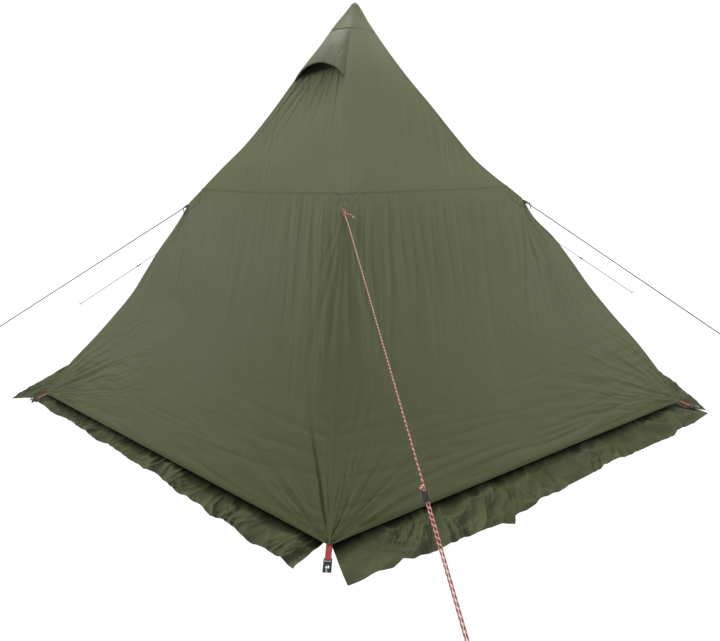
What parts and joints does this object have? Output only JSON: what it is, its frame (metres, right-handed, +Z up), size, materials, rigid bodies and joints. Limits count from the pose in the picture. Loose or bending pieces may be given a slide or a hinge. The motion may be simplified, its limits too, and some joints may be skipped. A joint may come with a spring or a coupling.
{
  "type": "teepee tent",
  "caption": "Six-sided teepee tent on one centre pole, with snow skirt, hooded vents, zipped door, corner webbing, adjustable guy lines and pegs.",
  "frame": {"origin": "on the ground directly under the apex, at the middle of the pole foot's underside", "axes": "+Z up; -Y towards the front corner of the tent, +X to the right seen from the front"},
  "size_m": [5.8122, 6.198, 2.453],
  "materials": {
    "canopy_cloth": "coated taffeta, plain weave, low sheen, seams double stitched",
    "skirt_cloth": "same cloth, unlined, crumpled",
    "hem_tape": "woven binding tape",
    "vent_mesh": "fine open insect netting",
    "webbing": "flat woven polypropylene webbing",
    "zip_tape": "coil zip on woven tape",
    "guy_cord": "braided cord with pale flecks",
    "buckle_plastic": "moulded, fine grain",
    "runner_plastic": "moulded, fine grain",
    "pole_rubber": "moulded rubber",
    "pole_steel": "satin powder coat",
    "vent_wire": "coated spring wire",
    "zip_metal": "painted die cast",
    "peg_steel": "galvanised wire"
  },
  "bodies": {
    "canopy": {"apex_cap": "canopy_cloth", "vent_mesh_front": "vent_mesh", "vent_mesh_back": "vent_mesh", "vent_hood_front": "canopy_cloth", "vent_hood_back": "canopy_cloth", "hem_webbing": "hem_tape", "snow_skirt": "skirt_cloth", "door_zip_tape": "zip_tape", "door_tie_loops": "canopy_cloth", "corner_straps": "webbing", "corner_buckles": "buckle_plastic", "guy_tabs": "canopy_cloth", "guy_loops": "webbing", "lower_panel_front_right": "canopy_cloth", "upper_panel_front_right": "canopy_cloth", "lower_panel_right": "canopy_cloth", "upper_panel_right": "canopy_cloth", "lower_panel_back_right": "canopy_cloth", "upper_panel_back_right": "canopy_cloth", "lower_panel_back_left": "canopy_cloth", "upper_panel_back_left": "canopy_cloth", "lower_panel_left": "canopy_cloth", "upper_panel_left": "canopy_cloth", "lower_panel_front_left": "canopy_cloth", "upper_panel_front_left": "canopy_cloth"},
    "pole": {"pole_foot": "pole_rubber", "pole_section_lower": "pole_steel", "pole_section_lower_middle": "pole_steel", "pole_section_upper_middle": "pole_steel", "pole_section_upper": "pole_steel", "pole_tip": "buckle_plastic"},
    "door": {"door_panel": "canopy_cloth"},
    "zip_slider": {"zip_slider": "zip_metal"},
    "zip_pull": {"zip_pull": "zip_metal"},
    "vent_hoop_front": {"vent_hoop_front": "vent_wire"},
    "vent_hoop_back": {"vent_hoop_back": "vent_wire"},
    "corner_peg_front": {"corner_peg_front": "peg_steel"},
    "corner_peg_right_front": {"corner_peg_right_front": "peg_steel"},
    "corner_peg_right_back": {"corner_peg_right_back": "peg_steel"},
    "corner_peg_back": {"corner_peg_back": "peg_steel"},
    "corner_peg_left_back": {"corner_peg_left_back": "peg_steel"},
    "corner_peg_left_front": {"corner_peg_left_front": "peg_steel"},
    "guy_line_front": {"guy_line_front": "guy_cord"},
    "line_runner_front": {"line_runner_front": "runner_plastic"},
    "guy_peg_front": {"guy_peg_front": "peg_steel"},
    "guy_line_right_front": {"guy_line_right_front": "guy_cord"},
    "line_runner_right_front": {"line_runner_right_front": "runner_plastic"},
    "guy_peg_right_front": {"guy_peg_right_front": "peg_steel"},
    "guy_line_right_back": {"guy_line_right_back": "guy_cord"},
    "line_runner_right_back": {"line_runner_right_back": "runner_plastic"},
    "guy_peg_right_back": {"guy_peg_right_back": "peg_steel"},
    "guy_line_back": {"guy_line_back": "guy_cord"},
    "line_runner_back": {"line_runner_back": "runner_plastic"},
    "guy_peg_back": {"guy_peg_back": "peg_steel"},
    "guy_line_left_back": {"guy_line_left_back": "guy_cord"},
    "line_runner_left_back": {"line_runner_left_back": "runner_plastic"},
    "guy_peg_left_back": {"guy_peg_left_back": "peg_steel"},
    "guy_line_left_front": {"guy_line_left_front": "guy_cord"},
    "line_runner_left_front": {"line_runner_left_front": "runner_plastic"},
    "guy_peg_left_front": {"guy_peg_left_front": "peg_steel"}
  },
  "joints": [
    {"name": "pole_tilt", "type": "hinge", "parent": "canopy", "child": "pole", "pos_m": [0, 0, 2.274], "axis": [1, 0, 0], "range_deg": [-10, 10]},
    {"name": "door_swing", "type": "hinge", "parent": "canopy", "child": "door", "pos_m": [-0.4974, 1.82452, 0.05462], "axis": [-0.1749, 0.6189, -0.7657], "range_deg": [0, 120]},
    {"name": "zip_slide", "type": "slide", "parent": "canopy", "child": "zip_slider", "axis": [0.4485, -0.4609, 0.7657], "range_m": [0, 1.88]},
    {"name": "zip_pull_flip", "type": "hinge", "parent": "zip_slider", "child": "zip_pull", "pos_m": [-1.32495, 1.3224, 0.08511], "axis": [0.8053, 0.5801, -0.1225], "range_deg": [0, 100]},
    {"name": "vent_droop_front", "type": "hinge", "parent": "canopy", "child": "vent_hoop_front", "pos_m": [-0.19724, -0.34163, 1.8234], "axis": [0.866, -0.5, 0], "range_deg": [0, 40]},
    {"name": "vent_droop_back", "type": "hinge", "parent": "canopy", "child": "vent_hoop_back", "pos_m": [0.19724, 0.34163, 1.8234], "axis": [-0.866, 0.5, 0], "range_deg": [0, 40]},
    {"name": "corner_peg_pull_front", "type": "slide", "parent": "canopy", "child": "corner_peg_front", "axis": [0, -0.342, 0.9397], "range_m": [0, 0.16]},
    {"name": "corner_peg_pull_right_front", "type": "slide", "parent": "canopy", "child": "corner_peg_right_front", "axis": [0.2962, -0.171, 0.9397], "range_m": [0, 0.16]},
    {"name": "corner_peg_pull_right_back", "type": "slide", "parent": "canopy", "child": "corner_peg_right_back", "axis": [0.2962, 0.171, 0.9397], "range_m": [0, 0.16]},
    {"name": "corner_peg_pull_back", "type": "slide", "parent": "canopy", "child": "corner_peg_back", "axis": [0, 0.342, 0.9397], "range_m": [0, 0.16]},
    {"name": "corner_peg_pull_left_back", "type": "slide", "parent": "canopy", "child": "corner_peg_left_back", "axis": [-0.2962, 0.171, 0.9397], "range_m": [0, 0.16]},
    {"name": "corner_peg_pull_left_front", "type": "slide", "parent": "canopy", "child": "corner_peg_left_front", "axis": [-0.2962, -0.171, 0.9397], "range_m": [0, 0.16]},
    {"name": "guy_lift_front", "type": "hinge", "parent": "canopy", "child": "guy_line_front", "pos_m": [0, -1.1742, 1.09357], "axis": [-0.9664, -0.2571, 0], "range_deg": [0, 25]},
    {"name": "runner_slide_front", "type": "slide", "parent": "guy_line_front", "child": "line_runner_front", "axis": [0.2248, -0.845, -0.4852], "range_m": [0, 0.6]},
    {"name": "guy_peg_pull_front", "type": "slide", "parent": "guy_line_front", "child": "guy_peg_front", "axis": [0.1247, -0.4689, 0.8744], "range_m": [0, 0.14]},
    {"name": "guy_lift_right_front", "type": "hinge", "parent": "canopy", "child": "guy_line_right_front", "pos_m": [1.01689, -0.5871, 1.09357], "axis": [-0.6696, -0.7427, 0], "range_deg": [0, 25]},
    {"name": "runner_slide_right_front", "type": "slide", "parent": "guy_line_right_front", "child": "line_runner_right_front", "axis": [0.6487, -0.5849, -0.4869], "range_m": [0, 0.6]},
    {"name": "guy_peg_pull_right_front", "type": "slide", "parent": "guy_line_right_front", "child": "guy_peg_right_front", "axis": [0.3616, -0.326, 0.8735], "range_m": [0, 0.14]},
    {"name": "guy_lift_right_back", "type": "hinge", "parent": "canopy", "child": "guy_line_right_back", "pos_m": [1.01689, 0.5871, 1.09357], "axis": [0.3739, -0.9275, 0], "range_deg": [0, 25]},
    {"name": "runner_slide_right_back", "type": "slide", "parent": "guy_line_right_back", "child": "line_runner_right_back", "axis": [0.8092, 0.3263, -0.4886], "range_m": [0, 0.6]},
    {"name": "guy_peg_pull_right_back", "type": "slide", "parent": "guy_line_right_back", "child": "guy_peg_right_back", "axis": [0.4531, 0.1827, 0.8725], "range_m": [0, 0.14]},
    {"name": "guy_lift_back", "type": "hinge", "parent": "canopy", "child": "guy_line_back", "pos_m": [0, 1.1742, 1.09357], "axis": [1, 0, 0], "range_deg": [0, 25]},
    {"name": "runner_slide_back", "type": "slide", "parent": "guy_line_back", "child": "line_runner_back", "axis": [0, 0.8717, -0.49], "range_m": [0, 0.6]},
    {"name": "guy_peg_pull_back", "type": "slide", "parent": "guy_line_back", "child": "guy_peg_back", "axis": [0, 0.49, 0.8717], "range_m": [0, 0.14]},
    {"name": "guy_lift_left_back", "type": "hinge", "parent": "canopy", "child": "guy_line_left_back", "pos_m": [-1.01689, 0.5871, 1.09357], "axis": [0.1614, 0.9869, 0], "range_deg": [0, 25]},
    {"name": "runner_slide_left_back", "type": "slide", "parent": "guy_line_left_back", "child": "line_runner_left_back", "axis": [-0.8653, 0.1415, -0.4808], "range_m": [0, 0.6]},
    {"name": "guy_peg_pull_left_back", "type": "slide", "parent": "guy_line_left_back", "child": "guy_peg_left_back", "axis": [-0.4745, 0.0776, 0.8768], "range_m": [0, 0.14]},
    {"name": "guy_lift_left_front", "type": "hinge", "parent": "canopy", "child": "guy_line_left_front", "pos_m": [-1.01689, -0.5871, 1.09357], "axis": [-0.5, 0.866, 0], "range_deg": [0, 25]},
    {"name": "runner_slide_left_front", "type": "slide", "parent": "guy_line_left_front", "child": "line_runner_left_front", "axis": [-0.755, -0.4359, -0.49], "range_m": [0, 0.6]},
    {"name": "guy_peg_pull_left_front", "type": "slide", "parent": "guy_line_left_front", "child": "guy_peg_left_front", "axis": [-0.4243, -0.245, 0.8717], "range_m": [0, 0.14]}
  ]
}
